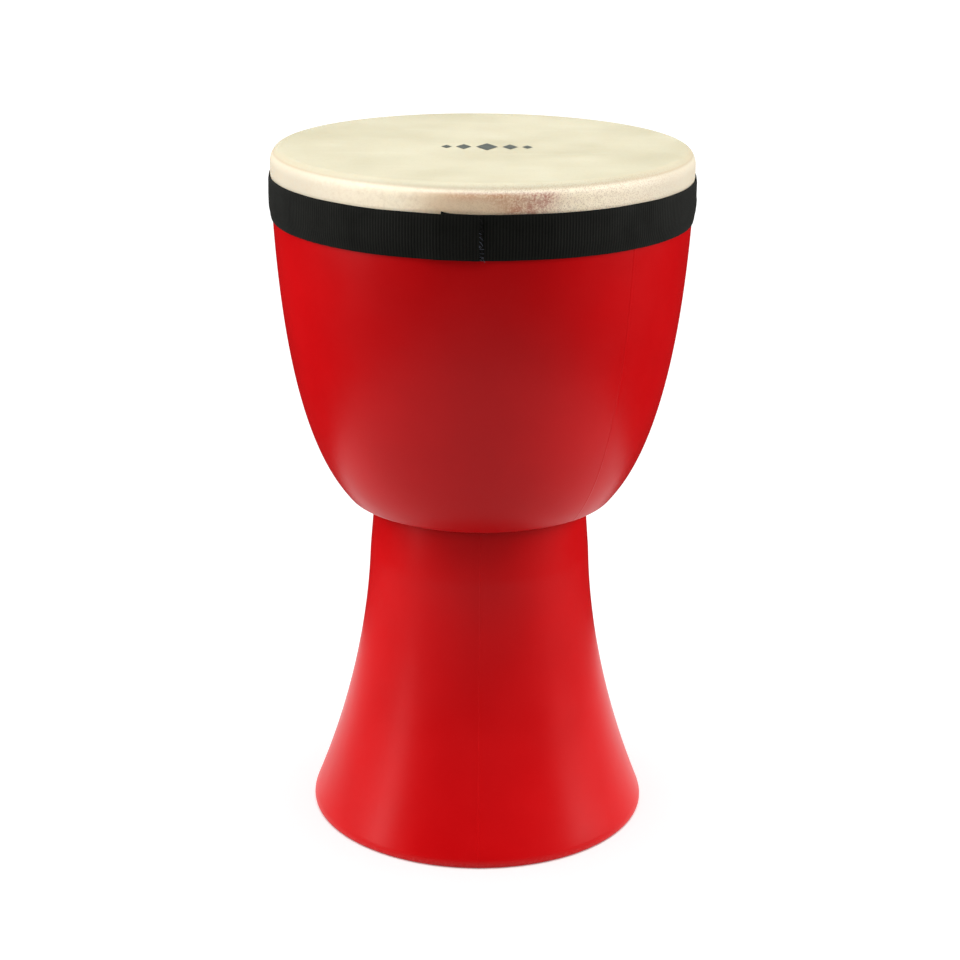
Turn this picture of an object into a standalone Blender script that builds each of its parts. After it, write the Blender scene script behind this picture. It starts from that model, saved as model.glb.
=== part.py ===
"""A small goblet hand drum (djembe) with a fixed goatskin head.

The drum stands on its foot: +Z is up, the origin is the centre of the base
circle, and the front, where the ribbon's ends overlap, faces -Y.
Everything is in metres.
"""
import math

import bmesh
import bpy
from mathutils import Matrix, Vector

# ---------------------------------------------------------------- dimensions
SEGMENTS = 48                  # facets round every large turned piece
STEP_ANGLE = 2 * math.pi / SEGMENTS
GAP = 0.0003                   # clearance kept between touching pieces

HEIGHT = 0.3560                # base to the top of the skin
RIBBON_RADIUS = 0.10665        # outside of the ribbon, the widest circle

SKIN_THICKNESS = 0.0006
SKIN_SIDE_RADIUS = 0.1057      # outside of the skin above the ribbon
SKIN_TUCK_RADIUS = 0.1048      # outside of the skin under the ribbon
CREST_RADIUS = 0.0996          # circle where the flat playing face ends
ROUND_START_Z = 0.3486         # where the side starts to round over
TUCK_TOP_Z = 0.3430
TUCK_BOTTOM_Z = 0.3375
SKIN_END_Z = 0.3282

BOWL_RADIUS = 0.10505          # bowl just under the ribbon
BOWL_WALL = 0.0050
BOWL_TOP_Z = 0.3220            # where the bowl starts to curve in
BOWL_CORNER = (0.0697, 0.1767)  # radius and height where the underside rounds
BOWL_CORNER_ANGLE = math.radians(51)
BOWL_CORNER_RADIUS = 0.0050
BOWL_SIDE_HANDLE = (0.0997, 0.2141)  # pulls the bowl's side curve outward
BOWL_CORNER_REACH = 0.0123     # the same curve's handle length at the corner
LEDGE_DROP = 0.0018            # step under the skin's end, where the bowl swells
LEDGE_RISE = 0.0008
RIM_BEAD_WIDTH = 0.0026        # how far the rim thickens inward of its crest
RIM_BEAD_DEPTH = 0.0060
RIM_BEAD_TOP = 0.0030
RIM_EDGE = (0.0012, 0.0006)    # rounding of the bearing edge, inward and down

THROAT_RADIUS = 0.0400
SPIGOT_WALL = 0.0030
SPIGOT_LENGTH = 0.0105
FLOOR_THICKNESS = 0.0097
THROAT_CHAMFER = 0.0015
FLOOR_FILLET = 0.0040          # run of the fillet between floor and wall
FLOOR_FILLET_RISE = 0.0020

FOOT_TOP_RADIUS = 0.0549
FOOT_WALL = 0.0045
FOOT_FLANGE_THICKNESS = 0.0050
FLARE_START = (0.0574, 0.1450)  # radius and height where the foot starts to flare
FLARE_TOP_HANDLE = (0.0581, 0.1370)
FLARE_LOW_HANDLE = (0.0580, 0.0807)
FLARE_END = (0.0882, 0.0050)
LIP_HANDLES = ((0.0889, 0.0032), (0.0896, 0.0))
BASE_RADIUS = 0.0878           # outer edge of the flat base rim
BASE_INNER_RADIUS = 0.0848
BASE_CHAMFER = (0.0008, 0.0010)

RIBBON_THICKNESS = 0.00075
RIBBON_TOP_Z = 0.3425
RIBBON_BOTTOM_Z = 0.3210
RIBBON_TUCK_Z = 0.3255         # below this it lies on the bowl
RIBBON_FULL_Z = 0.3285         # above this it stands out over the skin
RIBBON_OVERLAP_STEPS = 1       # facets by which the ends overlap
FRONT_ANGLE = -math.pi / 2

TACK_COUNT = 24
TACK_Z = 0.3325
TACK_HEAD_RADIUS = 0.00325
TACK_HEAD_THICKNESS = 0.0005
TACK_SHANK_RADIUS = 0.0007
TACK_LENGTH = 0.0043
TACK_POINT = 0.0010

SCREW_COUNT = 6
SCREW_CIRCLE_RADIUS = 0.0468
SCREW_HEAD_RADIUS = 0.0032
SCREW_HEAD_HEIGHT = 0.0022
SCREW_SHANK_RADIUS = 0.00175
SCREW_LENGTH = 0.0133
SCREW_POINT = 0.0020
HOLE_OVERRUN = 0.0010          # how far a cutter starts outside the material

# The underside of the bowl rests on the foot at this height.
SEAT_Z = BOWL_CORNER[1] - BOWL_CORNER_RADIUS * (1 - math.cos(BOWL_CORNER_ANGLE))
FOOT_TOP_Z = SEAT_Z - GAP
FLANGE_BOTTOM_Z = FOOT_TOP_Z - FOOT_FLANGE_THICKNESS
FLOOR_Z = SEAT_Z + FLOOR_THICKNESS
# Tacks and screws stand at facet centres, where a turned wall is flat.
FACET_SCALE = math.cos(STEP_ANGLE / 2)


# ------------------------------------------------------------------- helpers
def clear_scene():
    for obj in list(bpy.data.objects):
        bpy.data.objects.remove(obj, do_unlink=True)


def new_collection(name):
    collection = bpy.data.collections.new(name)
    bpy.context.scene.collection.children.link(collection)
    return collection


def new_material(name, colour, roughness, metallic=0.0):
    material = bpy.data.materials.new(name)
    material.use_nodes = True
    shader = material.node_tree.nodes["Principled BSDF"]
    shader.inputs["Base Color"].default_value = (*colour, 1.0)
    shader.inputs["Roughness"].default_value = roughness
    shader.inputs["Metallic"].default_value = metallic
    material.diffuse_color = (*colour, 1.0)
    return material


def bezier(start, first, second, end, count):
    """Points along a cubic curve, both ends included."""
    points = []
    for index in range(count + 1):
        t = index / count
        weights = ((1 - t) ** 3, 3 * t * (1 - t) ** 2, 3 * t * t * (1 - t), t ** 3)
        pairs = list(zip(weights, (start, first, second, end)))
        points.append(tuple(sum(w * p[axis] for w, p in pairs) for axis in (0, 1)))
    return points


def arc(centre, radii, from_angle, to_angle, count):
    """Points on an ellipse arc, angles from +r towards +z, both ends included."""
    points = []
    for index in range(count + 1):
        angle = from_angle + (to_angle - from_angle) * index / count
        points.append((centre[0] + radii[0] * math.cos(angle),
                       centre[1] + radii[1] * math.sin(angle)))
    return points


def offset_inward(points, distance):
    """A wall's inner side: each point moved square to the curve, to the axis."""
    moved = []
    for index, point in enumerate(points):
        before = points[max(index - 1, 0)]
        after = points[min(index + 1, len(points) - 1)]
        run = Vector((after[0] - before[0], after[1] - before[1])).normalized()
        moved.append((point[0] + run.y * distance, point[1] - run.x * distance))
    return moved


def profile_mesh(name, outline, closed):
    """A mesh of edges in the XZ plane, listed down the outer side first."""
    count = len(outline)
    edges = [(index, index + 1) for index in range(count - 1)]
    if closed:
        edges.append((count - 1, 0))
    mesh = bpy.data.meshes.new(name)
    mesh.from_pydata([(r, 0.0, z) for r, z in outline], edges, [])
    return mesh


def turn(name, mesh, material, collection, segments):
    """An object that turns a profile mesh round its own Z axis."""
    if not mesh.materials:
        mesh.materials.append(material)
    obj = bpy.data.objects.new(name, mesh)
    collection.objects.link(obj)
    screw = obj.modifiers.new("Turn", "SCREW")
    screw.axis = "Z"
    screw.angle = 2 * math.pi
    screw.steps = segments
    screw.render_steps = segments
    screw.use_merge_vertices = True
    screw.merge_threshold = 0.00001
    screw.use_smooth_shade = True
    return obj


def cut(obj, cutter):
    boolean = obj.modifiers.new("Holes", "BOOLEAN")
    boolean.operation = "DIFFERENCE"
    boolean.solver = "EXACT"
    boolean.object = cutter


def cylinders(name, placements, radius, length, collection):
    """One cutter made of equal cylinders, each centred on its own matrix."""
    mesh = bpy.data.meshes.new(name)
    shape = bmesh.new()
    for placement in placements:
        bmesh.ops.create_cone(shape, cap_ends=True, cap_tris=False, segments=8,
                              radius1=radius, radius2=radius, depth=length,
                              matrix=placement)
    shape.to_mesh(mesh)
    shape.free()
    cutter = bpy.data.objects.new(name, mesh)
    cutter.hide_render = True
    cutter.display_type = "WIRE"
    collection.objects.link(cutter)
    return cutter


def facet_angles(count):
    """Evenly spaced angles round the axis, each at the centre of a facet."""
    facets_between = SEGMENTS // count
    return [STEP_ANGLE * (0.5 + facets_between * index) for index in range(count)]


def facing_out(angle, distance, height):
    """A frame whose Z axis points out from the drum's axis."""
    direction = Vector((math.cos(angle), math.sin(angle), 0.0))
    place = Vector((direction.x * distance, direction.y * distance, height))
    return Matrix.Translation(place) @ direction.to_track_quat("Z", "Y").to_matrix().to_4x4()


# ---------------------------------------------------------------- the outlines
def crest_arc(inset, count):
    """The rounded edge of the head, from its crest down to its side."""
    radii = (SKIN_SIDE_RADIUS - CREST_RADIUS - inset, HEIGHT - ROUND_START_Z - inset)
    return arc((CREST_RADIUS, ROUND_START_Z), radii, math.pi / 2, 0.0, count)


def skin_outline():
    outer = [(0.0, HEIGHT)] + crest_arc(0.0, 5)
    outer += [(SKIN_SIDE_RADIUS, TUCK_TOP_Z), (SKIN_TUCK_RADIUS, TUCK_BOTTOM_Z),
              (SKIN_TUCK_RADIUS, SKIN_END_Z)]
    inner_tuck = SKIN_TUCK_RADIUS - SKIN_THICKNESS
    inner = [(inner_tuck, SKIN_END_Z), (inner_tuck, TUCK_BOTTOM_Z),
             (SKIN_SIDE_RADIUS - SKIN_THICKNESS, TUCK_TOP_Z)]
    inner += list(reversed(crest_arc(SKIN_THICKNESS, 5)))
    inner.append((0.0, HEIGHT - SKIN_THICKNESS))
    return outer + inner


def bowl_side():
    """The bowl's outer curve, from under the ribbon down to its flat underside."""
    handle = (BOWL_CORNER[0] + BOWL_CORNER_REACH * math.cos(BOWL_CORNER_ANGLE),
              BOWL_CORNER[1] + BOWL_CORNER_REACH * math.sin(BOWL_CORNER_ANGLE))
    return bezier((BOWL_RADIUS, BOWL_TOP_Z), BOWL_SIDE_HANDLE, handle, BOWL_CORNER, 10)


def bowl_outline():
    inset = SKIN_THICKNESS + GAP
    tuck = SKIN_TUCK_RADIUS - inset
    outer = crest_arc(inset, 4)
    outer += [(SKIN_SIDE_RADIUS - inset, TUCK_TOP_Z), (tuck, TUCK_BOTTOM_Z),
              (tuck, SKIN_END_Z - LEDGE_DROP + LEDGE_RISE),
              (BOWL_RADIUS, SKIN_END_Z - LEDGE_DROP)]
    outer += bowl_side()
    corner_centre = (BOWL_CORNER[0] - BOWL_CORNER_RADIUS * math.sin(BOWL_CORNER_ANGLE),
                     SEAT_Z + BOWL_CORNER_RADIUS)
    corner = arc(corner_centre, (BOWL_CORNER_RADIUS, BOWL_CORNER_RADIUS),
                 BOWL_CORNER_ANGLE - math.pi / 2, -math.pi / 2, 3)
    outer += corner[1:]
    spigot = THROAT_RADIUS + SPIGOT_WALL
    outer += [(spigot, SEAT_Z), (spigot, SEAT_Z - SPIGOT_LENGTH),
              (THROAT_RADIUS, SEAT_Z - SPIGOT_LENGTH),
              (THROAT_RADIUS, FLOOR_Z - THROAT_CHAMFER),
              (THROAT_RADIUS + THROAT_CHAMFER, FLOOR_Z)]
    wall = offset_inward(bowl_side(), BOWL_WALL)
    inner = [point for point in reversed(wall) if point[1] > FLOOR_Z + FLOOR_FILLET_RISE]
    outer.append((inner[0][0] - FLOOR_FILLET, FLOOR_Z))
    bead = CREST_RADIUS - RIM_BEAD_WIDTH
    inner += [(bead, ROUND_START_Z - RIM_BEAD_DEPTH), (bead, ROUND_START_Z + RIM_BEAD_TOP),
              (CREST_RADIUS - RIM_EDGE[0], HEIGHT - inset - RIM_EDGE[1])]
    return outer + inner


def foot_outline():
    flare = bezier(FLARE_START, FLARE_TOP_HANDLE, FLARE_LOW_HANDLE, FLARE_END, 9)
    side = [(FOOT_TOP_RADIUS, FOOT_TOP_Z)] + flare
    lip = bezier(FLARE_END, *LIP_HANDLES, (BASE_RADIUS, 0.0), 3)
    outer = side + lip[1:]
    outer += [(BASE_INNER_RADIUS, 0.0), (BASE_INNER_RADIUS - BASE_CHAMFER[0], BASE_CHAMFER[1])]
    wall = offset_inward(side, FOOT_WALL)
    inner = [point for point in reversed(wall[:-1])]
    inner[-1] = (inner[-1][0], FLANGE_BOTTOM_Z)
    hole = THROAT_RADIUS + SPIGOT_WALL + GAP
    inner += [(hole, FLANGE_BOTTOM_Z), (hole, FOOT_TOP_Z)]
    return outer + inner


def tack_outline():
    """A flat-headed tack, pointing down its own -Z, its head's underside at zero."""
    return [(0.0, TACK_HEAD_THICKNESS), (TACK_HEAD_RADIUS, TACK_HEAD_THICKNESS),
            (TACK_HEAD_RADIUS, 0.0), (TACK_SHANK_RADIUS, 0.0),
            (TACK_SHANK_RADIUS, -TACK_LENGTH + TACK_POINT), (0.0, -TACK_LENGTH)]


def screw_outline():
    """A pan-headed screw, pointing down its own -Z, its head's underside at zero."""
    head = arc((0.0, 0.0), (SCREW_HEAD_RADIUS, SCREW_HEAD_HEIGHT), math.pi / 2, 0.0, 3)
    return head + [(SCREW_SHANK_RADIUS, 0.0),
                   (SCREW_SHANK_RADIUS, -SCREW_LENGTH + SCREW_POINT), (0.0, -SCREW_LENGTH)]


# ------------------------------------------------------------------ the pieces
def build_skin(collection, tack_holes):
    cream = new_material("goatskin", (0.86, 0.80, 0.62), 0.55)
    mesh = profile_mesh("drumhead_skin", skin_outline(), closed=False)
    cut(turn("drumhead_skin", mesh, cream, collection, SEGMENTS), tack_holes)


def build_shells(collection, tack_holes, screw_holes):
    red = new_material("red_plastic", (0.62, 0.012, 0.014), 0.33)
    bowl_mesh = profile_mesh("bowl_shell", bowl_outline(), closed=True)
    bowl = turn("bowl_shell", bowl_mesh, red, collection, SEGMENTS)
    cut(bowl, tack_holes)
    cut(bowl, screw_holes)
    foot_mesh = profile_mesh("foot_shell", foot_outline(), closed=True)
    cut(turn("foot_shell", foot_mesh, red, collection, SEGMENTS), screw_holes)


def build_ribbon(collection):
    """A woven band laid round the head, its outer end lapped over its inner end."""
    black = new_material("black_ribbon", (0.012, 0.012, 0.011), 0.85)
    inside = RIBBON_RADIUS - RIBBON_THICKNESS
    rows = [(BOWL_RADIUS + GAP, RIBBON_BOTTOM_Z), (BOWL_RADIUS + GAP, RIBBON_TUCK_Z),
            (inside, RIBBON_FULL_Z), (inside, RIBBON_TOP_Z)]
    lap = RIBBON_THICKNESS + GAP
    mesh = bpy.data.meshes.new("head_ribbon")
    shape = bmesh.new()
    columns = []
    for index in range(SEGMENTS + RIBBON_OVERLAP_STEPS + 1):
        angle = FRONT_ANGLE + STEP_ANGLE * (index - RIBBON_OVERLAP_STEPS)
        lift = lap if index >= SEGMENTS else 0.0
        columns.append([shape.verts.new(((r + lift) * math.cos(angle),
                                         (r + lift) * math.sin(angle), z))
                        for r, z in rows])
    for left, right in zip(columns, columns[1:]):
        for low in range(len(rows) - 1):
            shape.faces.new((left[low], right[low], right[low + 1], left[low + 1]))
    shape.to_mesh(mesh)
    shape.free()
    mesh.materials.append(black)
    mesh.shade_smooth()
    ribbon = bpy.data.objects.new("head_ribbon", mesh)
    collection.objects.link(ribbon)
    thicken = ribbon.modifiers.new("Thickness", "SOLIDIFY")
    thicken.thickness = RIBBON_THICKNESS
    thicken.offset = 1.0


def build_tacks(collection):
    steel = new_material("tack_steel", (0.42, 0.42, 0.41), 0.38, metallic=1.0)
    mesh = profile_mesh("skin_tack", tack_outline(), closed=False)
    distance = SKIN_TUCK_RADIUS * FACET_SCALE + GAP
    for number, angle in enumerate(facet_angles(TACK_COUNT), start=1):
        tack = turn(f"skin_tack_{number:02d}", mesh, steel, collection, 8)
        tack.matrix_world = facing_out(angle, distance, TACK_Z)


def build_screws(collection):
    zinc = new_material("zinc_steel", (0.60, 0.60, 0.58), 0.30, metallic=1.0)
    mesh = profile_mesh("neck_screw", screw_outline(), closed=False)
    for number, angle in enumerate(facet_angles(SCREW_COUNT), start=1):
        screw = turn(f"neck_screw_{number}", mesh, zinc, collection, 12)
        screw.location = (SCREW_CIRCLE_RADIUS * math.cos(angle),
                          SCREW_CIRCLE_RADIUS * math.sin(angle), FLANGE_BOTTOM_Z - GAP)
        screw.rotation_euler = (math.pi, 0.0, 0.0)


def build_tack_holes(collection):
    """Radial holes through the skin and part of the way into the bowl's rim."""
    outer_end = SKIN_TUCK_RADIUS + HOLE_OVERRUN
    inner_end = SKIN_TUCK_RADIUS * FACET_SCALE - TACK_LENGTH
    middle = (outer_end + inner_end) / 2
    placements = [facing_out(angle, middle, TACK_Z) for angle in facet_angles(TACK_COUNT)]
    return cylinders("tack_holes", placements, TACK_SHANK_RADIUS + GAP,
                     outer_end - inner_end, collection)


def build_screw_holes(collection):
    """Upright holes through the foot's flange and into the bowl's floor."""
    low = FLANGE_BOTTOM_Z - HOLE_OVERRUN
    high = FLANGE_BOTTOM_Z + SCREW_LENGTH + GAP
    placements = []
    for angle in facet_angles(SCREW_COUNT):
        place = Vector((SCREW_CIRCLE_RADIUS * math.cos(angle),
                        SCREW_CIRCLE_RADIUS * math.sin(angle), (low + high) / 2))
        placements.append(Matrix.Translation(place))
    return cylinders("screw_holes", placements, SCREW_SHANK_RADIUS + 2 * GAP,
                     high - low, collection)


def main():
    clear_scene()
    parts = new_collection("djembe")
    cutters = new_collection("cutters")
    tack_holes = build_tack_holes(cutters)
    screw_holes = build_screw_holes(cutters)
    build_shells(parts, tack_holes, screw_holes)
    build_skin(parts, tack_holes)
    build_ribbon(parts)
    build_tacks(parts)
    build_screws(parts)


main()
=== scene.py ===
"""The looks of a small djembe: red moulded shell, goatskin head, black ribbon."""
import math

import bmesh
import bpy
import numpy as np
from mathutils import Matrix, Vector


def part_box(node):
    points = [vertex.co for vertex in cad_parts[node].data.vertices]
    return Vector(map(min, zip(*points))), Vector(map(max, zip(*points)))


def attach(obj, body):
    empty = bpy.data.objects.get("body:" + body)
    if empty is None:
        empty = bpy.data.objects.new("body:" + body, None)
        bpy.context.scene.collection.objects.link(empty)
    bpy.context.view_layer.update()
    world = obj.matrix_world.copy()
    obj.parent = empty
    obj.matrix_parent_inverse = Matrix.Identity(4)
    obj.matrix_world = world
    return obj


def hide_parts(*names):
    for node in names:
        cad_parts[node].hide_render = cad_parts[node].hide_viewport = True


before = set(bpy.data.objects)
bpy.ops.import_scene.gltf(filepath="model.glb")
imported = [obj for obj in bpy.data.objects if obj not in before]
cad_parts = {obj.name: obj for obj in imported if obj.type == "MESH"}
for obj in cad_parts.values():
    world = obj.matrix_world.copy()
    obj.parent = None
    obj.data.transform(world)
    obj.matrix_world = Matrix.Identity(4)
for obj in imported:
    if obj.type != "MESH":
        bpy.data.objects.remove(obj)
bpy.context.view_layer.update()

BODY = "root"
MM = 0.001

# ------------------------------------------------------------ sizes, in metres
# Heights and outer radii come from the CAD nodes' boxes. The rest are the same
# driving dimensions as the part's own source. Pairs are (radius, height).
SKIN_LOW, SKIN_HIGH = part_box("drumhead_skin")
RIBBON_LOW, RIBBON_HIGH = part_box("head_ribbon")
BOWL_LOW, BOWL_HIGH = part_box("bowl_shell")
FOOT_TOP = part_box("foot_shell")[1].z
FRONT = -math.pi / 2

HEIGHT = SKIN_HIGH.z
SKIN_SIDE = SKIN_HIGH.x
SKIN_END_Z = SKIN_LOW.z
SKIN_THICKNESS = 0.6 * MM
SKIN_CLEARANCE = 0.3 * MM
CREST_RADIUS = SKIN_SIDE - 6.1 * MM
ROUND_START_Z = HEIGHT - 7.4 * MM
EDGE_SQUARENESS = 2.15
CREASE_RADIUS = CREST_RADIUS + 4.7 * MM
SKIN_TUCK = SKIN_SIDE - 0.9 * MM
TUCK_TOP_Z = ROUND_START_Z - 5.6 * MM
TUCK_BOTTOM_Z = ROUND_START_Z - 11.1 * MM
MARKS_FADE_IN = (0.3400, 0.3440)
MARKS_FADE_OUT = (0.3510, 0.3530)
PRINT_CENTRE = (0.002, -0.006)

RIBBON_RADIUS = RIBBON_HIGH.x
RIBBON_TOP = RIBBON_HIGH.z
RIBBON_BOTTOM = RIBBON_LOW.z
RIBBON_THICKNESS = 0.75 * MM
RIB_PITCH = 1.5 * MM
RIB_HEIGHT = 0.13 * MM
LAP_ANGLE = math.radians(9.6)
LAP_CLEARANCE = 0.12 * MM
RIBBON_END_ANGLE = FRONT - math.radians(0.6)
THREAD_RADIUS = 0.10 * MM
THREAD_SPACING = 0.34 * MM
TACK_COUNT = 24
FIRST_TACK_ANGLE = math.radians(3.75)

BOWL_RADIUS = BOWL_HIGH.x
BOWL_WALL = 5.0 * MM
BOWL_SIDE_TOP_Z = 0.3220
BOWL_SIDE_HANDLE = (0.0997, 0.2141)
BOWL_CORNER = (0.0697, 0.1767)
BOWL_CORNER_LEAN = math.radians(51)
BOWL_CORNER_REACH = 0.0123
BOWL_CORNER_RADIUS = 5.0 * MM
BOWL_SEAM_ANGLE = FRONT + math.radians(43)
SEAT_Z = FOOT_TOP + 0.3 * MM
BOWL_FLOOR_Z = SEAT_Z + 9.7 * MM
THROAT_RADIUS = 0.0400
THROAT_ROUND = 1.5 * MM
SPIGOT_RADIUS = 0.0430
SPIGOT_ROUND = 0.8 * MM
RIM_BEAD = 2.6 * MM

NECK_TOP_RADIUS = 0.0549
NECK_LOW = (0.0574, 0.1450)
FLARE_HANDLES = ((0.0581, 0.1370), (0.0580, 0.0807))
FLARE_END = (0.0882, 0.0050)
LIP_HANDLES = ((0.0889, 0.0032), (0.0896, 0.0))
LIP_END = (0.0878, 0.0)
BASE_INNER_EDGE = ((0.0848, 0.0), (0.0840, 0.0010))
FOOT_WALL = 4.5 * MM
FOOT_INNER_ROUND = 1.2 * MM
FLANGE_THICKNESS = 5.0 * MM
FLANGE_HOLE = 0.0433
FOOT_SEAM_ANGLE = FRONT + math.radians(0.5)
SEAM_HEIGHT = 0.11 * MM
SEAM_WIDTH_ANGLE = 0.0028

SCREW_COUNT = 6
SCREW_HEAD_RADIUS = 3.2 * MM
SCREW_HEAD_HEIGHT = 2.2 * MM
SCREW_SHANK_RADIUS = 1.75 * MM
SLOT_LENGTH, SLOT_WIDTH, SLOT_DEPTH = 3.6 * MM, 0.8 * MM, 2.6 * MM

CARD_INNER_RADIUS = 0.46
CARD_OUTER_RADIUS = 6.0

CAMERA_DISTANCE = 1.05556
CAMERA_HEIGHT = 0.53691
CAMERA_PITCH = 0.32609
CAMERA_ROLL = 0.00881
CAMERA_LENS = 79.737

# --------------------------------------------------------------------- colours
RED_DEEP = (0.400, 0.0011, 0.0022)
RED_CLEAR = (0.450, 0.0018, 0.0031)
RED_FLECK = (0.560, 0.0200, 0.0220)
RED_SCUFF = (0.60, 0.09, 0.09)
# Painted shade: the dark red painted on the neck's top under the bowl.
RED_PAINTED_SHADE = (0.120, 0.0010, 0.0015)
SKIN_DULL = (0.440, 0.408, 0.292)
SKIN_CLEAR = (0.482, 0.452, 0.336)
SKIN_VEIN = (0.510, 0.488, 0.378)
SKIN_GRAIN = (0.355, 0.300, 0.185)
SKIRT_SIDE = (0.545, 0.487, 0.379)
# Painted light: the paler skirt colour where it faces the front.
SKIRT_FRONT_PAINTED_LIGHT = (0.920, 0.800, 0.605)
SKIRT_GRAIN = (0.560, 0.440, 0.300)
# Painted highlight: the pale ring at the skirt's edge, at the front.
SKIRT_RING_HIGHLIGHT = (0.980, 0.910, 0.780)
PORE_BROWN = (0.350, 0.225, 0.150)
STAIN_RED = (0.375, 0.088, 0.068)
VEIL_TAN = (0.680, 0.445, 0.255)
# Painted shade: the brown painted in the crease at the head's edge.
CREASE_PAINTED_SHADE = (0.400, 0.275, 0.175)
# The ribbon's black, which also serves as painted shade in the rib grooves, and a painted
# highlight for each rib's crest.
RIBBON_DARK = (0.0007, 0.0008, 0.0004)
RIBBON_CREST_HIGHLIGHT = (0.0072, 0.0076, 0.0056)
RIBBON_FIBRE = (0.014, 0.014, 0.012)
THREAD_BLACK = (0.0050, 0.0050, 0.0045)
THREAD_GREY = (0.070, 0.078, 0.100)
ZINC = (0.72, 0.72, 0.70)
PLAIN_STEEL = (0.50, 0.50, 0.49)
INK_DARK = (0.055, 0.065, 0.060)
INK_WORN = (0.120, 0.130, 0.110)
FLOOR_WHITE = (0.98, 0.98, 0.98)
CARD_BLACK = (0.01, 0.01, 0.01)


# -------------------------------------------------------------------- geometry
def bezier(start, first, second, end, count):
    t = np.linspace(0.0, 1.0, count + 1)[:, None]
    start, first, second, end = (np.array(p) for p in (start, first, second, end))
    return ((1 - t) ** 3 * start + 3 * t * (1 - t) ** 2 * first
            + 3 * t * t * (1 - t) * second + t ** 3 * end)


def arc(centre, radii, from_angle, to_angle, count, power=2.0):
    """An ellipse arc; a power over 2 squares its corner a little."""
    angle = np.linspace(from_angle, to_angle, count + 1)
    c, s = np.cos(angle), np.sin(angle)
    r = centre[0] + radii[0] * np.sign(c) * np.abs(c) ** (2 / power)
    z = centre[1] + radii[1] * np.sign(s) * np.abs(s) ** (2 / power)
    return np.stack([r, z], axis=1)


def line(start, end, count=1):
    t = np.linspace(0.0, 1.0, count + 1)[:, None]
    return np.array(start) + (np.array(end) - np.array(start)) * t


def join(*runs):
    """One outline from several runs of points, without repeated points."""
    points = np.concatenate(runs)
    step = np.linalg.norm(np.diff(points, axis=0), axis=1)
    return points[np.concatenate([[True], step > 1e-6])]


def offset_inward(points, distance):
    run = np.gradient(points, axis=0)
    run /= np.linalg.norm(run, axis=1)[:, None]
    return points + np.stack([run[:, 1], -run[:, 0]], axis=1) * distance


def smooth_step(value, low, high):
    t = np.clip((value - low) / (high - low), 0.0, 1.0)
    return t * t * (3 - 2 * t)


def bump_at(angle, centre, width):
    """A soft bump round the circle, 1 at centre, width in radians."""
    away = np.angle(np.exp(1j * (angle - centre)))
    return np.exp(-0.5 * (away / width) ** 2)


def ripple(angle, seed, waves):
    """Smooth pseudo-random height round the circle, about -1 to 1."""
    random = np.random.default_rng(seed)
    height = np.zeros_like(angle)
    for wave in waves:
        height = height + random.uniform(0.5, 1.0) * np.sin(
            wave * angle + random.uniform(0, 2 * math.pi))
    return height / len(waves)


def grid_mesh(name, radius, height, angle, wrap_rows, wrap_columns):
    """A mesh of quads through arrays of radius, height and angle."""
    rows, columns = radius.shape
    points = np.stack([radius * np.cos(angle), radius * np.sin(angle), height], axis=2)
    index = np.arange(rows * columns).reshape(rows, columns)
    if wrap_rows:
        index = np.concatenate([index, index[:1]], axis=0)
    if wrap_columns:
        index = np.concatenate([index, index[:, :1]], axis=1)
    quads = np.stack([index[:-1, :-1], index[1:, :-1], index[1:, 1:], index[:-1, 1:]],
                     axis=2).reshape(-1, 4)
    mesh = bpy.data.meshes.new(name)
    mesh.from_pydata(points.reshape(-1, 3).tolist(), [], quads.tolist())
    return mesh


def tidy_mesh(mesh, sharp_degrees=35.0):
    """Merges the points on the axis, closes strip ends and shades it smooth."""
    shape = bmesh.new()
    shape.from_mesh(mesh)
    bmesh.ops.remove_doubles(shape, verts=shape.verts, dist=1e-7)
    ends = [edge for edge in shape.edges if edge.is_boundary]
    if ends:
        bmesh.ops.holes_fill(shape, edges=ends, sides=0)
    bmesh.ops.recalc_face_normals(shape, faces=shape.faces)
    shape.to_mesh(mesh)
    shape.free()
    mesh.shade_smooth()
    mesh.set_sharp_from_angle(angle=math.radians(sharp_degrees))


def add_object(name, data, material, slot, *nodes):
    """A new piece that rides on the drum and may stand for CAD nodes."""
    obj = bpy.data.objects.new(name, data)
    bpy.context.scene.collection.objects.link(obj)
    if not data.materials:
        data.materials.append(material)
    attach(obj, BODY)
    if nodes:
        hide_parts(*nodes)
    return obj


def columns_round(count, *extra_angles):
    """Evenly spaced angles, with closer ones beside each mould line."""
    angles = list(np.arange(count) * 2 * math.pi / count)
    closer = (0.0, 0.0016, 0.0032, 0.0048, 0.0075, 0.011)
    for centre in extra_angles:
        for step in closer:
            angles += [centre + step, centre - step]
    return np.unique(np.round(np.mod(angles, 2 * math.pi), 6))


def paint(mesh, name, rule):
    """A per-point value for the material, worked out from each point's place."""
    points = np.zeros(len(mesh.vertices) * 3, np.float32)
    mesh.vertices.foreach_get("co", points)
    x, y, z = points.reshape(-1, 3).T
    layer = mesh.attributes.new(name, "FLOAT", "POINT")
    values = rule(np.hypot(x, y), np.arctan2(y, x), z)
    layer.data.foreach_set("value", values.astype(np.float32))


# ------------------------------------------------------------------- materials
def new_material(name):
    material = bpy.data.materials.new(name)
    material.use_nodes = True
    tree = material.node_tree
    return material, tree, tree.nodes["Principled BSDF"]


def add_node(tree, kind, inputs=None, **settings):
    """A shader node with its settings; an input is a value or another socket."""
    made = tree.nodes.new("ShaderNode" + kind)
    for key, value in settings.items():
        setattr(made, key, value)
    for key, value in (inputs or {}).items():
        if isinstance(value, bpy.types.NodeSocket):
            tree.links.new(value, made.inputs[key])
        else:
            made.inputs[key].default_value = value
    return made


def place(tree):
    return add_node(tree, "TexCoord").outputs["Object"]


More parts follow.
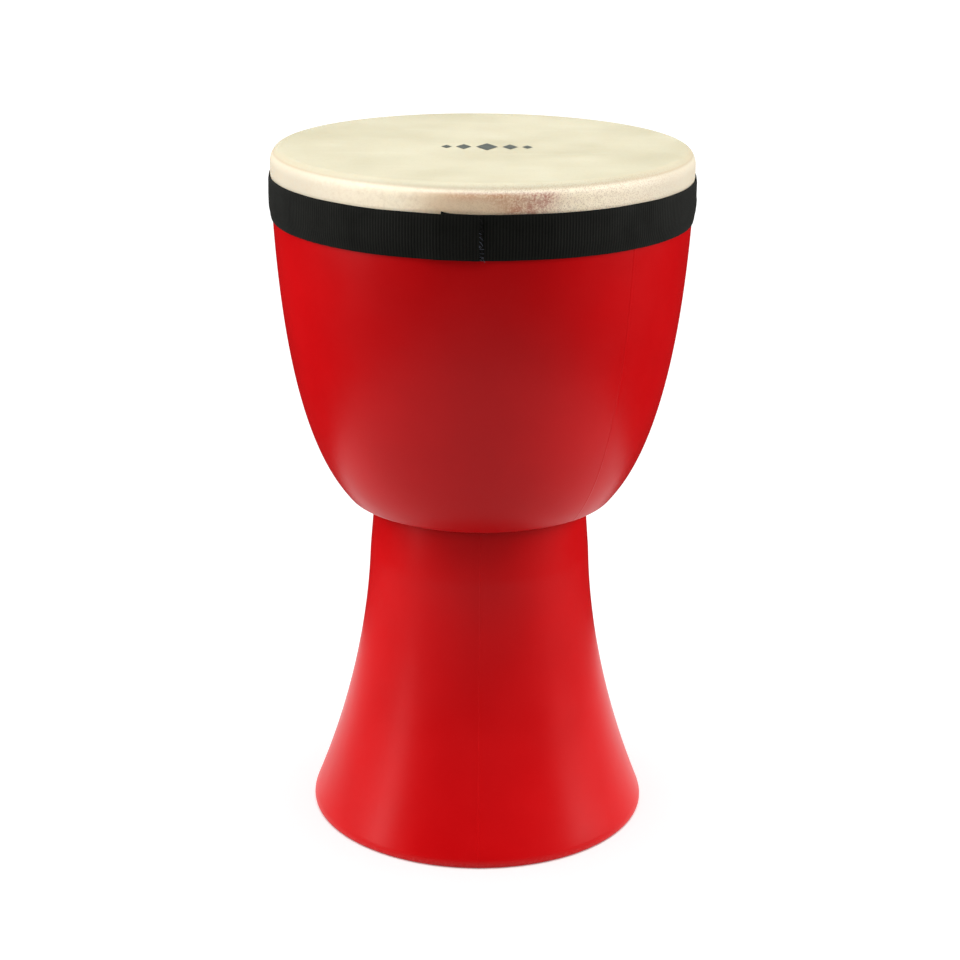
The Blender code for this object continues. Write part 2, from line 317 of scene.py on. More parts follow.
def noise_value(tree, vector, scale, detail=3.0, roughness=0.5):
    made = add_node(tree, "TexNoise", {"Vector": vector, "Scale": scale,
                                       "Detail": detail, "Roughness": roughness})
    return made.outputs["Fac"]


def remap(tree, value, low, high, new_low=0.0, new_high=1.0):
    made = add_node(tree, "MapRange", {"Value": value, "From Min": low, "From Max": high,
                                       "To Min": new_low, "To Max": new_high})
    return made.outputs["Result"]


def blend_colour(tree, factor, first, second):
    """Mixes two colours, each an RGB triple or a socket, by a factor socket."""
    made = add_node(tree, "Mix", data_type="RGBA")
    for key, value in (("Factor", factor), ("A", first), ("B", second)):
        socket = next(s for s in made.inputs if s.name == key and s.enabled)
        if isinstance(value, bpy.types.NodeSocket):
            tree.links.new(value, socket)
        else:
            socket.default_value = (*value, 1.0)
    return next(s for s in made.outputs if s.enabled)


def product(tree, first, second):
    return add_node(tree, "Math", {0: first, 1: second}, operation="MULTIPLY").outputs[0]


def total(tree, first, second):
    return add_node(tree, "Math", {0: first, 1: second}, operation="ADD").outputs[0]


def bump(tree, height, strength, distance, below=None):
    inputs = {"Height": height, "Strength": strength, "Distance": distance}
    if below is not None:
        inputs["Normal"] = below
    return add_node(tree, "Bump", inputs).outputs["Normal"]


def attribute(tree, name):
    return add_node(tree, "Attribute", attribute_name=name).outputs["Fac"]


def red_plastic():
    material, tree, shader = new_material("red_moulded_plastic")
    where = place(tree)
    cloud = noise_value(tree, where, 14.0, 4.0)
    colour = blend_colour(tree, remap(tree, cloud, 0.35, 0.65), RED_DEEP, RED_CLEAR)
    flecks = noise_value(tree, where, 1100.0, 2.0, 0.7)
    colour = blend_colour(tree, remap(tree, flecks, 0.60, 0.78, 0.0, 0.20), colour, RED_FLECK)
    mottle = noise_value(tree, where, 30.0, 2.0)
    rough = remap(tree, mottle, 0.3, 0.7, 0.290, 0.345)
    ripples = noise_value(tree, where, 45.0, 2.0)
    normal = bump(tree, ripples, 0.10, 0.0010)
    normal = bump(tree, flecks, 0.12, 0.00010, normal)
    patches = remap(tree, noise_value(tree, where, 900.0), 0.4, 0.7)
    scuffs = product(tree, attribute(tree, "worn"), patches)
    colour = blend_colour(tree, product(tree, scuffs, 0.35), colour, RED_SCUFF)
    # Painted shade: the neck's top darkened under the bowl.
    colour = blend_colour(tree, attribute(tree, "painted_shade"), colour, RED_PAINTED_SHADE)
    rough = total(tree, rough, product(tree, scuffs, 0.25))
    tree.links.new(colour, shader.inputs["Base Color"])
    tree.links.new(rough, shader.inputs["Roughness"])
    tree.links.new(normal, shader.inputs["Normal"])
    shader.inputs["IOR"].default_value = 1.49
    shader.inputs["Specular IOR Level"].default_value = 0.13
    return material


def skin_face_colour(tree, where, clouds, grain):
    """The playing face: soft clouds, streaky veins and fine grain."""
    colour = blend_colour(tree, remap(tree, clouds, 0.34, 0.68), SKIN_DULL, SKIN_CLEAR)
    streaks = add_node(tree, "Mapping", {"Vector": where, "Scale": (5.0, 26.0, 8.0),
                                         "Rotation": (0.0, 0.0, 0.5)}).outputs["Vector"]
    veins = noise_value(tree, streaks, 5.0, 6.0, 0.6)
    colour = blend_colour(tree, remap(tree, veins, 0.54, 0.74, 0.0, 0.35), colour, SKIN_VEIN)
    return blend_colour(tree, remap(tree, grain, 0.50, 0.72, 0.0, 0.16), colour, SKIN_GRAIN)


def skirt_colour(tree, grain):
    """The skirt below the edge, with painted light: palest where it faces the front."""
    colour = blend_colour(tree, attribute(tree, "pale"), SKIRT_SIDE, SKIRT_FRONT_PAINTED_LIGHT)
    colour = blend_colour(tree, remap(tree, grain, 0.45, 0.75, 0.0, 0.35), colour, SKIRT_GRAIN)
    # Painted highlight: the pale ring at the edge, at the front.
    return blend_colour(tree, product(tree, attribute(tree, "ring"), 0.8), colour, SKIRT_RING_HIGHLIGHT)


def stain_mask(tree, where):
    """The reddish patch, broken up into blotches and fine dots."""
    stipple = remap(tree, noise_value(tree, where, 1000.0, 2.0, 0.6), 0.40, 0.53, 0.30, 1.0)
    blotch = remap(tree, noise_value(tree, where, 150.0, 4.0, 0.75), 0.34, 0.58, 0.40, 1.0)
    return product(tree, product(tree, blotch, stipple), attribute(tree, "stain"))


def goatskin():
    material, tree, shader = new_material("goatskin")
    where = place(tree)
    clouds = noise_value(tree, where, 22.0, 5.0, 0.55)
    grain = noise_value(tree, where, 520.0, 3.0, 0.65)
    colour = blend_colour(tree, attribute(tree, "side"),
                          skin_face_colour(tree, where, clouds, grain), skirt_colour(tree, grain))
    pores = add_node(tree, "TexVoronoi", {"Vector": where, "Scale": 1450.0})
    pore_mask = remap(tree, pores.outputs["Distance"], 0.22, 0.48, 1.0, 0.0)
    pore_patch = product(tree, pore_mask, attribute(tree, "pores"))
    colour = blend_colour(tree, product(tree, pore_patch, 0.50), colour, PORE_BROWN)
    colour = blend_colour(tree, product(tree, stain_mask(tree, where), 0.90), colour, STAIN_RED)
    colour = blend_colour(tree, product(tree, attribute(tree, "tan"), 0.56), colour, VEIL_TAN)
    # Painted shade in the crease at the head's edge.
    colour = blend_colour(tree, product(tree, attribute(tree, "crease_shade"), 0.45), colour,
                          CREASE_PAINTED_SHADE)
    normal = bump(tree, clouds, 0.08, 0.0008)
    normal = bump(tree, grain, 0.22, 0.00015, normal)
    normal = bump(tree, pore_mask, -0.12, 0.00010, normal)
    tree.links.new(colour, shader.inputs["Base Color"])
    tree.links.new(remap(tree, clouds, 0.3, 0.7, 0.46, 0.60), shader.inputs["Roughness"])
    tree.links.new(normal, shader.inputs["Normal"])
    shader.inputs["Specular IOR Level"].default_value = 0.3
    shader.inputs["Subsurface Weight"].default_value = 0.15
    shader.inputs["Subsurface Radius"].default_value = (1.0, 0.60, 0.35)
    shader.inputs["Subsurface Scale"].default_value = 0.0010
    return material


def black_ribbon(name, dark, light):
    material, tree, shader = new_material(name)
    where = place(tree)
    # Painted highlight on each rib's crest and painted shade in the grooves.
    colour = blend_colour(tree, attribute(tree, "rib"), dark, light)
    clouds = noise_value(tree, where, 60.0, 3.0)
    colour = blend_colour(tree, remap(tree, clouds, 0.45, 0.75, 0.0, 0.35), colour, dark)
    flat = add_node(tree, "Mapping", {"Vector": where,
                                      "Scale": (900.0, 900.0, 2600.0)}).outputs["Vector"]
    fibre = noise_value(tree, flat, 1.0, 2.0, 0.7)
    colour = blend_colour(tree, remap(tree, fibre, 0.55, 0.80, 0.0, 0.35), colour,
                          RIBBON_FIBRE)
    tree.links.new(colour, shader.inputs["Base Color"])
    tree.links.new(bump(tree, fibre, 0.5, 0.00012), shader.inputs["Normal"])
    tree.links.new(remap(tree, clouds, 0.3, 0.7, 0.72, 0.88), shader.inputs["Roughness"])
    shader.inputs["Sheen Weight"].default_value = 0.03
    shader.inputs["Sheen Roughness"].default_value = 0.4
    shader.inputs["Specular IOR Level"].default_value = 0.10
    return material


def steel(name, colour, roughness):
    material, tree, shader = new_material(name)
    where = place(tree)
    spots = noise_value(tree, where, 1200.0, 4.0, 0.6)
    darker = tuple(c * 0.7 for c in colour)
    tint = blend_colour(tree, remap(tree, spots, 0.35, 0.65), darker, colour)
    tree.links.new(tint, shader.inputs["Base Color"])
    tree.links.new(remap(tree, spots, 0.3, 0.7, roughness - 0.06, roughness + 0.12),
                   shader.inputs["Roughness"])
    tree.links.new(bump(tree, spots, 0.15, 0.00005), shader.inputs["Normal"])
    shader.inputs["Metallic"].default_value = 1.0
    return material


def print_ink():
    material, tree, shader = new_material("printed_ink")
    where = place(tree)
    thin = noise_value(tree, where, 700.0, 4.0, 0.7)
    colour = blend_colour(tree, remap(tree, thin, 0.40, 0.75), INK_DARK, INK_WORN)
    tree.links.new(colour, shader.inputs["Base Color"])
    tree.links.new(bump(tree, thin, 0.3, 0.00005), shader.inputs["Normal"])
    shader.inputs["Roughness"].default_value = 0.55
    return material


# ---------------------------------------------------------------------- shells
def bowl_side(count=44):
    """The bowl's outer side, and the rounded corner at its foot."""
    handle = (BOWL_CORNER[0] + BOWL_CORNER_REACH * math.cos(BOWL_CORNER_LEAN),
              BOWL_CORNER[1] + BOWL_CORNER_REACH * math.sin(BOWL_CORNER_LEAN))
    side = bezier((BOWL_RADIUS, BOWL_SIDE_TOP_Z), BOWL_SIDE_HANDLE, handle, BOWL_CORNER, count)
    centre = (BOWL_CORNER[0] - BOWL_CORNER_RADIUS * math.sin(BOWL_CORNER_LEAN),
              SEAT_Z + BOWL_CORNER_RADIUS)
    return side, arc(centre, (BOWL_CORNER_RADIUS, BOWL_CORNER_RADIUS),
                     BOWL_CORNER_LEAN - math.pi / 2, -math.pi / 2, 8)


def head_round(inset, count=14):
    """The rounded edge of the head, from its crest down to its side."""
    radii = (SKIN_SIDE - CREST_RADIUS - inset, HEIGHT - ROUND_START_Z - inset)
    return arc((CREST_RADIUS, ROUND_START_Z), radii, math.pi / 2, 0.0, count,
               EDGE_SQUARENESS)


def bowl_outline():
    """The whole bowl's section: down the outside, then up through the throat."""
    inset = SKIN_THICKNESS + SKIN_CLEARANCE
    tuck = SKIN_TUCK - inset
    side, corner = bowl_side()
    ledge_z = SKIN_END_Z - 1.8 * MM
    top = join(head_round(inset), [(SKIN_SIDE - inset, TUCK_TOP_Z)], [(tuck, TUCK_BOTTOM_Z)],
               [(tuck, ledge_z + 0.8 * MM)], [(BOWL_RADIUS, ledge_z)])
    lower = BOWL_LOW.z
    spigot_round = (SPIGOT_ROUND, SPIGOT_ROUND)
    throat_round = (THROAT_ROUND, THROAT_ROUND)
    neck = join(arc((SPIGOT_RADIUS - SPIGOT_ROUND, lower + SPIGOT_ROUND), spigot_round, 0.0,
                    -math.pi / 2, 4),
                arc((THROAT_RADIUS + SPIGOT_ROUND, lower + SPIGOT_ROUND), spigot_round,
                    -math.pi / 2, -math.pi, 4),
                line((THROAT_RADIUS, lower + 2 * MM),
                     (THROAT_RADIUS, BOWL_FLOOR_Z - THROAT_ROUND), 6),
                arc((THROAT_RADIUS + THROAT_ROUND, BOWL_FLOOR_Z - THROAT_ROUND), throat_round,
                    math.pi, math.pi / 2, 4))
    wall = offset_inward(side, BOWL_WALL)[::-1]
    wall = wall[wall[:, 1] > BOWL_FLOOR_Z + 2 * MM]
    bead = CREST_RADIUS - RIM_BEAD
    rim = join([(bead, ROUND_START_Z - 6 * MM)], [(bead, ROUND_START_Z + 3 * MM)],
               [(CREST_RADIUS - 1.2 * MM, HEIGHT - inset - 0.6 * MM)])
    floor = line((THROAT_RADIUS + THROAT_ROUND, BOWL_FLOOR_Z),
                 (wall[0][0] - 4 * MM, BOWL_FLOOR_Z), 3)
    return join(top, side, corner, [(SPIGOT_RADIUS, SEAT_Z)], neck, floor, wall, rim)


def foot_side(count=48):
    """The neck and flare from the top down, and the rounded lip at the base."""
    neck = line((NECK_TOP_RADIUS, FOOT_TOP), NECK_LOW, 10)
    flare = bezier(NECK_LOW, *FLARE_HANDLES, FLARE_END, count)
    lip = bezier(FLARE_END, *LIP_HANDLES, LIP_END, 10)
    return join(neck, flare), lip


def foot_outline():
    side, lip = foot_side()
    flange_z = FOOT_TOP - FLANGE_THICKNESS
    wall = offset_inward(side, FOOT_WALL)[::-1][1:]
    wall = wall[wall[:, 1] < flange_z - 1.5 * MM]
    corner = arc((wall[-1][0] - FOOT_INNER_ROUND, flange_z - FOOT_INNER_ROUND),
                 (FOOT_INNER_ROUND, FOOT_INNER_ROUND), 0.0, math.pi / 2, 4)
    flange = join([(FLANGE_HOLE + 0.5 * MM, flange_z)], [(FLANGE_HOLE, flange_z + 0.5 * MM)],
                  [(FLANGE_HOLE, FOOT_TOP)])
    return join(side, lip, BASE_INNER_EDGE, wall, corner, flange)


def shell_mesh(name, outline, seam, worn_rule, painted_shade_rule):
    """A turned shell with the two raised lines that its mould left."""
    opposite = seam + math.pi
    angle = columns_round(288, seam, opposite)[None, :]
    radius, height = outline[:, :1], outline[:, 1:]
    ridge = SEAM_HEIGHT * (bump_at(angle, seam, SEAM_WIDTH_ANGLE)
                           + bump_at(angle, opposite, SEAM_WIDTH_ANGLE))
    outer = np.zeros(len(outline))
    outer[:int(np.argmin(outline[:, 1]))] = 1.0
    outer = outer[:, None] * smooth_step(radius, 0.045, 0.050)
    sway = 0.05 * MM * ripple(angle + height * 9.0, 4, (3, 5, 8)) * outer
    full = np.broadcast_to(angle, (len(outline), angle.shape[1]))
    mesh = grid_mesh(name, radius + ridge * outer + sway, height + 0 * full, full, True, True)
    tidy_mesh(mesh)
    paint(mesh, "worn", worn_rule)
    paint(mesh, "painted_shade", painted_shade_rule)
    return mesh


def nowhere(r, a, z):
    return np.zeros_like(r)


def base_scuff_rule(r, a, z):
    return 1.0 - smooth_step(z, 0.4 * MM, 4.0 * MM)


def neck_painted_shade_rule(r, a, z):
    """Painted shade: a darker ring on the neck's top, in the corner under the bowl."""
    return 0.55 * smooth_step(z, FOOT_TOP - 9 * MM, FOOT_TOP - 1 * MM)


def build_shells():
    red = red_plastic()
    bowl = shell_mesh("bowl", bowl_outline(), BOWL_SEAM_ANGLE, nowhere, nowhere)
    add_object("bowl", bowl, red, "shell", "bowl_shell")
    foot = shell_mesh("foot", foot_outline(), FOOT_SEAM_ANGLE, base_scuff_rule, neck_painted_shade_rule)
    add_object("foot", foot, red, "shell", "foot_shell")


# ------------------------------------------------------------------------ head
def skin_outline():
    """The skin's section: over the top and down the side, then back under."""
    outer = join(line((0.0, HEIGHT), (CREST_RADIUS, HEIGHT), 36), head_round(0.0, 20),
                 line((SKIN_SIDE, ROUND_START_Z), (SKIN_SIDE, TUCK_TOP_Z), 6),
                 line((SKIN_SIDE, TUCK_TOP_Z), (SKIN_TUCK, TUCK_BOTTOM_Z), 4),
                 line((SKIN_TUCK, TUCK_BOTTOM_Z), (SKIN_TUCK, SKIN_END_Z), 4))
    inner = SKIN_TUCK - SKIN_THICKNESS
    under = join([(inner, SKIN_END_Z)], [(inner, TUCK_BOTTOM_Z)],
                 [(SKIN_SIDE - SKIN_THICKNESS, TUCK_TOP_Z)],
                 head_round(SKIN_THICKNESS, 12)[::-1],
                 line((CREST_RADIUS, HEIGHT - SKIN_THICKNESS),
                      (0.0, HEIGHT - SKIN_THICKNESS), 18))
    return join(outer, under)


def turned_from_front(a):
    """Degrees round from the front, positive to the right."""
    return np.degrees(np.angle(np.exp(1j * (a - FRONT))))


def side_rule(r, a, z):
    """From the face's colour to the skirt's, over the rounded edge."""
    return smooth_step(HEIGHT - z, 1.4 * MM, 4.0 * MM)


# Painted light: how much paler the skirt is painted where it faces the front.
def painted_front_light_rule(r, a, z):
    return 1 - smooth_step(np.abs(turned_from_front(a)), 12.0, 60.0)


def skirt_band(z):
    """1 on the upright part of the skirt, fading out at the edge above it."""
    return smooth_step(z, *MARKS_FADE_IN) * (1 - smooth_step(z, *MARKS_FADE_OUT))


def stain_rule(r, a, z):
    """The reddish patch on the skirt, a little right of the front."""
    turn = turned_from_front(a)
    near = 1.2 * np.exp(-0.5 * ((turn - 10.5) / 4.8) ** 2)
    streak = 0.70 * smooth_step(turn, -12.0, -6.0) * (1 - smooth_step(turn, 17.0, 20.0))
    streak = streak * smooth_step(z, 0.3465, 0.3510)
    return np.clip(near + streak, 0, 1) * skirt_band(z)


def tan_rule(r, a, z):
    """The brown veil to the left of the reddish patch."""
    turn = turned_from_front(a)
    veil = smooth_step(turn, -22.0, -9.0) * (1 - smooth_step(turn, 4.0, 16.0))
    return veil * skirt_band(z)


def pore_rule(r, a, z):
    turn = turned_from_front(a)
    spread = smooth_step(turn, -20.0, 16.0) * (1 - smooth_step(turn, 42.0, 70.0))
    return np.clip(spread + 0.12, 0, 1) * smooth_step(r, 0.1000, 0.1035)


def ring_highlight_rule(r, a, z):
    """Painted highlight: a paler ring at the edge, only where it faces the front."""
    ring = np.exp(-0.5 * ((HEIGHT - z - 3.9 * MM) / (0.6 * MM)) ** 2)
    return ring * bump_at(a, FRONT + math.radians(2), math.radians(15))


def crease_shade_rule(r, a, z):
    """Painted shade in the stretched crease that runs round just inside the edge, with a fainter
    band of painted shade on its inner side, both deeper away from the front.
    """
    away = 1 - painted_front_light_rule(r, a, z)
    fold = np.exp(-0.5 * ((r - CREASE_RADIUS) / (0.40 * MM)) ** 2) * (0.7 + 0.7 * away)
    shoulder = np.exp(-0.5 * ((r - CREASE_RADIUS + 1.6 * MM) / (1.2 * MM)) ** 2) * 0.30 * away
    return np.maximum(fold, shoulder) * smooth_step(z, HEIGHT - 3 * MM, HEIGHT - 2 * MM)


def build_skin():
    outline = skin_outline()
    angle = columns_round(360)[None, :]
    radius, height = outline[:, :1], outline[:, 1:]
    skirt = smooth_step(radius, 0.101, 0.105) * (1 - smooth_step(height, 0.344, 0.354))
    puckers = 0.10 * MM * ripple(angle, 11, (24, 37, 51, 68)) * skirt
    drape = 0.06 * MM * ripple(angle, 5, (2, 3, 5)) * smooth_step(radius, 0.02, 0.10)
    groove = 0.12 * MM * np.exp(-0.5 * ((radius - CREASE_RADIUS) / (0.5 * MM)) ** 2)
    vein = 0.14 * MM * bump_at(angle, FRONT + math.radians(27), 0.006) * skirt
    full = np.broadcast_to(angle, (len(outline), angle.shape[1]))
    inside = 1 - smooth_step(radius, 0.0985, 0.1040)
    mesh = grid_mesh("goatskin_head", radius + puckers + vein,
                     height + drape * inside - groove + 0 * full, full, False, True)
    tidy_mesh(mesh, 60.0)
    rules = {"side": side_rule, "pale": painted_front_light_rule, "ring": ring_highlight_rule, "crease_shade": crease_shade_rule,
             "stain": stain_rule, "tan": tan_rule, "pores": pore_rule}
    for name, rule in rules.items():
        paint(mesh, name, rule)
    add_object("goatskin_head", mesh, goatskin(), "skin", "drumhead_skin")


# ---------------------------------------------------------------------- ribbon
def ribbon_section():
    """The ribbon's cross-section: outer side top to bottom, then the inner side."""
    half = RIBBON_THICKNESS / 2
    middle = RIBBON_RADIUS - half
    low = BOWL_RADIUS + 0.1 * MM + half
    run = join(line((middle, RIBBON_TOP), (middle, RIBBON_BOTTOM + 7.0 * MM), 6),
               bezier((middle, RIBBON_BOTTOM + 7.0 * MM), (middle, RIBBON_BOTTOM + 4.5 * MM),
                      (low, RIBBON_BOTTOM + 4.0 * MM), (low, RIBBON_BOTTOM), 6))
    run_length = np.linspace(0.0, 1.0, len(run))
    edge = np.clip(np.minimum(run_length, 1 - run_length) / 0.05, 0.0, 1.0)
    thick = half * (0.35 + 0.65 * np.sqrt(edge))
    outer = run + np.stack([thick, 0 * thick], axis=1)
    inner = run - np.stack([thick, 0 * thick], axis=1)
    return np.concatenate([outer, inner[::-1]]), len(run)


def build_ribbon():
    section, outer_count = ribbon_section()
    turn = 2 * math.pi + LAP_ANGLE
    ribs = round(turn * RIBBON_RADIUS / RIB_PITCH)
    along = np.linspace(0.0, turn, ribs * 6 + 1)[None, :]
    angle = RIBBON_END_ANGLE - LAP_ANGLE + along
    radius, height = section[:, :1], section[:, 1:]
    lap = smooth_step(along, turn - LAP_ANGLE - 0.12, turn - LAP_ANGLE - 0.004)
    lift = (RIBBON_THICKNESS + LAP_CLEARANCE) * lap
    is_outer = (np.arange(len(section)) < outer_count)[:, None]
    share = (height - RIBBON_BOTTOM) / (RIBBON_TOP - RIBBON_BOTTOM)
    body = smooth_step(share, 0.0, 0.06) * (1 - smooth_step(share, 0.94, 1.0))
    rib = RIB_HEIGHT * np.sin(along / turn * ribs * math.pi) ** 2 * is_outer * body
    tacks = np.zeros_like(along)
    for number in range(TACK_COUNT):
        spot = FIRST_TACK_ANGLE + number * 2 * math.pi / TACK_COUNT
        tacks = tacks + bump_at(angle, spot, 0.022)
    bulge = 0.16 * MM * tacks * np.exp(-0.5 * ((share - 0.53) / 0.16) ** 2)
    lump = 0.45 * MM * bump_at(angle, math.radians(-2), 0.030)
    bulge = bulge + lump * np.exp(-0.5 * ((share - 0.40) / 0.10) ** 2)
    wave = 0.20 * MM * ripple(angle, 21, (3, 7, 13, 22))
    slack = 0.10 * MM * ripple(angle, 8, (5, 11, 17)) * (1 - share)
    corner = 1.1 * MM * np.exp(-along / 0.030) * share
    mesh = grid_mesh("ribbon", radius + lift + rib + bulge + slack,
                     height + wave * (0.4 + 0.6 * share) + corner, angle + 0 * height, True, False)
    tidy_mesh(mesh, 50.0)
    cloth = black_ribbon("black_grosgrain", RIBBON_DARK, RIBBON_CREST_HIGHLIGHT)
    start = RIBBON_END_ANGLE - LAP_ANGLE
    # Painted light: 1 on each rib's crest for the painted highlight, 0 in the grooves for the
    # painted shade.
    paint(mesh, "rib", lambda r, a, z: np.sin(np.mod(a - start, 2 * math.pi)
                                              / turn * ribs * math.pi) ** 2)
    band = add_object("ribbon", mesh, cloth, "ribbon", "head_ribbon")


def build_fray():
    """Loose threads on the ribbon's cut outer end, black with a few grey ones."""
    random = np.random.default_rng(3)
    black = black_ribbon("black_thread", THREAD_BLACK, THREAD_BLACK)
    grey = black_ribbon("grey_thread", THREAD_GREY, THREAD_GREY)
    curves = []
    for name, material in (("fray_black", black), ("fray_grey", grey)):
        curve = bpy.data.curves.new(name, "CURVE")
        curve.dimensions = "3D"
        curve.bevel_depth = THREAD_RADIUS
        curve.bevel_resolution = 1
        curve.use_fill_caps = True
        curve.materials.append(material)
        curves.append(curve)
    edge_radius = RIBBON_RADIUS + RIBBON_THICKNESS * 0.9
    lowest, highest = RIBBON_BOTTOM + 0.6 * MM, RIBBON_TOP - 0.5 * MM
    for height in np.arange(lowest, highest, THREAD_SPACING):
        share = (height - RIBBON_BOTTOM) / (RIBBON_TOP - RIBBON_BOTTOM)
        is_grey = share < 0.62 and random.uniform() < 0.34
        length = random.uniform(0.6, 2.4) * MM * (1.3 if is_grey else 1.0)
        droop = random.uniform(-1.6, 0.6)
        tuck = (1 - smooth_step(share, 0.0, 0.32)) * MM
        bow = random.uniform(0.3, 0.9)
        thread = curves[int(is_grey)].splines.new("POLY")
        thread.points.add(5)
        for step in range(6):
            t = step / 5
            angle = RIBBON_END_ANGLE + (t * length - 0.5 * MM) / RIBBON_RADIUS
            radius = edge_radius - tuck + 0.40 * MM * math.sin(3 * t) * bow
            thread.points[step].co = (radius * math.cos(angle), radius * math.sin(angle),
                                      height + droop * t * t * length, 1.0)
    for curve in curves:
        add_object(curve.name, curve, curve.materials[0], "ribbon")


# -------------------------------------------------------------------- fasteners
def screw_with_recess(name, cad_node, material):
    """A pan head with a cross recess, on the CAD screw's own place."""
    low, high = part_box(cad_node)
    centre = (low + high) / 2
    under = low.z + SCREW_HEAD_HEIGHT
    profile = join(arc((0.0, under), (SCREW_HEAD_RADIUS, SCREW_HEAD_HEIGHT), -math.pi / 2, 0.0,
                       10, 2.3),
                   [(SCREW_SHANK_RADIUS, under)], [(SCREW_SHANK_RADIUS, high.z - 2 * MM)],
                   [(0.0, high.z)])[::-1]
    angle = np.linspace(0, 2 * math.pi, 33)[:-1][None, :]
    full = np.broadcast_to(angle, (len(profile), 32))
    mesh = grid_mesh(name, profile[:, :1] + 0 * full, profile[:, 1:] + 0 * full, full,
                     False, True)
    tidy_mesh(mesh, 30.0)
    mesh.transform(Matrix.Translation((centre.x, centre.y, 0.0)))
    screw = add_object(name, mesh, material, "screw", cad_node)
    cutter_shape = bmesh.new()
    turn = math.atan2(centre.y, centre.x) + 0.4
    for quarter in (0.0, math.pi / 2):
        box = bmesh.ops.create_cube(cutter_shape, size=1.0)
        spot = (Matrix.Translation((centre.x, centre.y, low.z))
                @ Matrix.Rotation(turn + quarter, 4, "Z")
                @ Matrix.Diagonal((SLOT_LENGTH, SLOT_WIDTH, SLOT_DEPTH, 1.0)))
        bmesh.ops.transform(cutter_shape, matrix=spot, verts=box["verts"])
    cutter_mesh = bpy.data.meshes.new("recess")
    cutter_shape.to_mesh(cutter_mesh)
    cutter_shape.free()
    cutter = bpy.data.objects.new("recess", cutter_mesh)
    bpy.context.scene.collection.objects.link(cutter)
    cross = screw.modifiers.new("Recess", "BOOLEAN")
    cross.operation = "DIFFERENCE"
    cross.solver = "EXACT"
    cross.use_self = True
    cross.object = cutter
    bpy.context.view_layer.update()
    evaluated = screw.evaluated_get(bpy.context.evaluated_depsgraph_get())
    cut_mesh = bpy.data.meshes.new_from_object(evaluated)
    screw.modifiers.clear()
    screw.data = cut_mesh
    cut_mesh.set_sharp_from_angle(angle=math.radians(30))
    bpy.data.objects.remove(cutter)


def build_fasteners():
    zinc = steel("zinc_steel", ZINC, 0.36)
    for number in range(1, SCREW_COUNT + 1):
        screw_with_recess(f"pan_screw_{number}", f"neck_screw_{number}", zinc)
    plain = steel("plain_steel", PLAIN_STEEL, 0.36)
    for name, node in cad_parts.items():
        if name.startswith("skin_tack"):
            node.data.materials.clear()
            node.data.materials.append(plain)


# ----------------------------------------------------------------------- print
def build_print():
    """A plain row of diamonds printed on the skin. Each has its place along the
    row and its half sizes, in millimetres."""
    mesh = bpy.data.meshes.new("skin_print")
    shape = bmesh.new()
    top = HEIGHT + 0.10 * MM
    centre = Vector((*PRINT_CENTRE, top))
    diamonds = ((0.0, 5.4, 10.0), (-11.5, 3.8, 7.0), (11.5, 3.8, 7.0),
                (-20.0, 2.6, 4.6), (20.0, 2.6, 4.6))
    for offset, half_x, half_y in diamonds:
        corners = []
        for x, y in ((1, 0), (0, 1), (-1, 0), (0, -1)):
            spot = centre + Vector(((offset + x * half_x) * MM, y * half_y * MM, 0))
            corners.append(shape.verts.new(spot))
        shape.faces.new(corners)
    made = bmesh.ops.extrude_face_region(shape, geom=list(shape.faces))
    verts = [item for item in made["geom"] if isinstance(item, bmesh.types.BMVert)]
    bmesh.ops.translate(shape, vec=(0, 0, 0.04 * MM), verts=verts)
    bmesh.ops.recalc_face_normals(shape, faces=shape.faces)
    shape.to_mesh(mesh)
    shape.free()
    add_object("skin_print", mesh, print_ink(), "skin")


# ----------------------------------------------------------------------- stage
def make_camera():
    data = bpy.data.cameras.new("camera")
    data.sensor_width = 36.0
    data.lens = CAMERA_LENS
    data.clip_start = 0.01
    camera = bpy.data.objects.new("camera", data)
    bpy.context.scene.collection.objects.link(camera)
    camera.matrix_world = (Matrix.Translation((0.0, -CAMERA_DISTANCE, CAMERA_HEIGHT))
                           @ Matrix.Rotation(math.pi / 2 - CAMERA_PITCH, 4, "X")
                           @ Matrix.Rotation(CAMERA_ROLL, 4, "Z"))
    bpy.context.scene.camera = camera


def area_light(name, spot, target, size, power, spared):
    """A softbox that leaves the floor alone, so the floor doesn't burn out."""
    data = bpy.data.lights.new(name, "AREA")
    data.shape = "RECTANGLE"
    data.size, data.size_y = size
    data.energy = power
    light = bpy.data.objects.new(name, data)
    bpy.context.scene.collection.objects.link(light)
    light.location = spot
    aim = Vector(target) - Vector(spot)
    light.rotation_euler = aim.to_track_quat("-Z", "Y").to_euler()
    light.light_linking.receiver_collection = spared


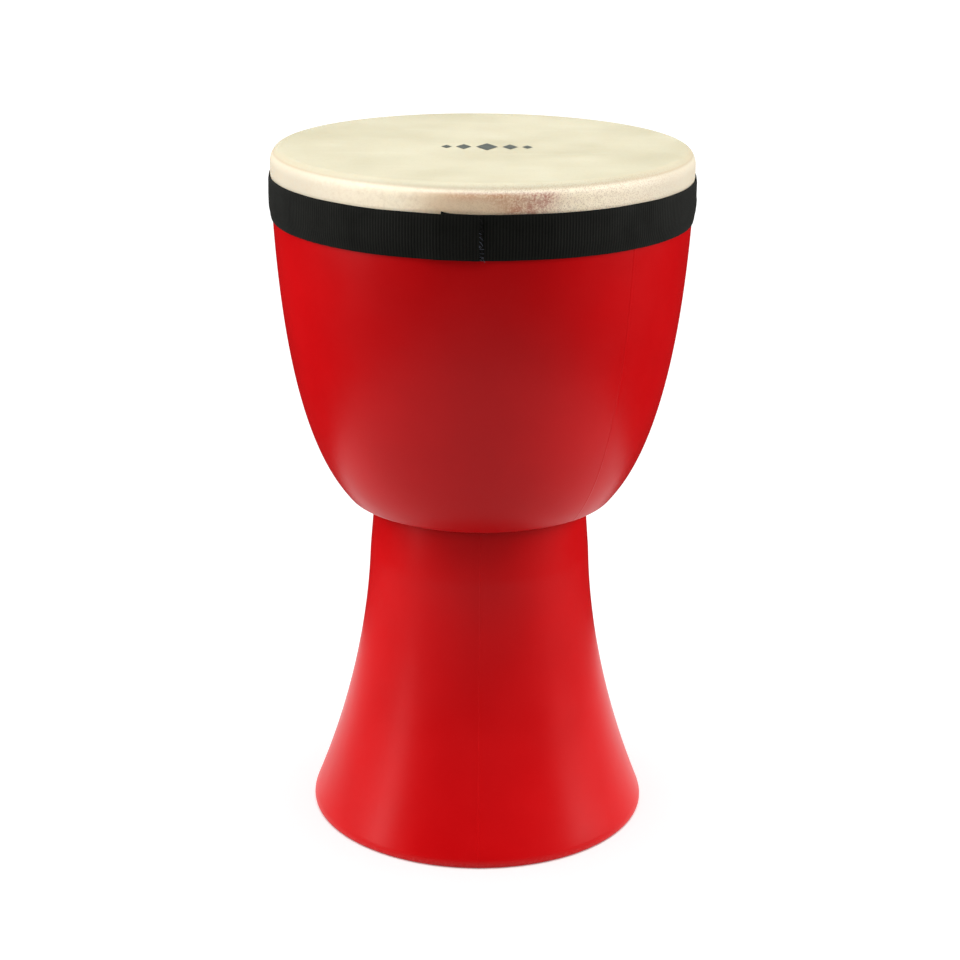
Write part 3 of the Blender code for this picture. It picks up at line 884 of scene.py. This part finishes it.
def black_ring_card():
    """A black ring card round the white middle of the floor: the dark room that
    the drum's gloss shows. The camera and the shadows pass through it."""
    material, tree, shader = new_material("black_card")
    shader.inputs["Base Color"].default_value = (*CARD_BLACK, 1)
    shader.inputs["Roughness"].default_value = 1.0
    shader.inputs["Specular IOR Level"].default_value = 0.0
    angle = np.linspace(0, 2 * math.pi, 65)[:-1][None, :]
    radius = np.array([[CARD_INNER_RADIUS], [CARD_OUTER_RADIUS]])
    full = np.broadcast_to(angle, (2, 64))
    mesh = grid_mesh("black_card", radius + 0 * full, 2 * MM + 0 * full, full, False, True)
    mesh.transform(Matrix.Translation((0.0, -0.20, 0.0)))
    mesh.materials.append(material)
    card = bpy.data.objects.new("black_card", mesh)
    bpy.context.scene.collection.objects.link(card)
    card.visible_camera = False
    card.visible_shadow = False


def build_stage():
    material, tree, shader = new_material("pale_floor")
    shader.inputs["Base Color"].default_value = (*FLOOR_WHITE, 1)
    shader.inputs["Roughness"].default_value = 0.9
    shader.inputs["Specular IOR Level"].default_value = 0.1
    shader.inputs["Emission Color"].default_value = (1.0, 1.0, 1.0, 1)
    shader.inputs["Emission Strength"].default_value = 0.24
    bpy.ops.mesh.primitive_circle_add(vertices=96, radius=14.0, fill_type="NGON")
    floor = bpy.context.object
    floor.name = "floor"
    floor.location.z = -0.2 * MM
    floor.data.materials.append(material)
    black_ring_card()
    world = bpy.data.worlds.new("studio")
    bpy.context.scene.world = world
    world.use_nodes = True
    background = world.node_tree.nodes["Background"]
    background.inputs["Color"].default_value = (1, 1, 1, 1)
    background.inputs["Strength"].default_value = 1.0
    world.cycles_visibility.diffuse = False
    world.cycles_visibility.glossy = False
    overhead = bpy.data.lights.new("overhead", "SUN")
    overhead.energy = 3.47
    overhead.angle = math.radians(70)
    sun = bpy.data.objects.new("overhead", overhead)
    bpy.context.scene.collection.objects.link(sun)
    middle = (0, 0, 0.2)
    spared = bpy.data.collections.new("not_lit_by_the_boxes")
    spared.objects.link(floor)
    spared.collection_objects[0].light_linking.link_state = "EXCLUDE"
    area_light("left_box", (-1.4, -0.15, 0.75), middle, (0.9, 1.2), 17, spared)
    area_light("left_strip", (-1.29, -0.55, 0.55), middle, (0.35, 1.3), 7, spared)
    area_light("left_high_box", (-1.2, -0.1, 1.5), middle, (0.9, 0.9), 14, spared)
    area_light("right_box", (1.4, -0.15, 0.75), middle, (0.9, 1.2), 31, spared)
    bpy.context.scene.view_settings.view_transform = "Standard"


make_camera()
build_stage()
build_shells()
build_skin()
build_ribbon()
build_fray()
build_fasteners()
build_print()
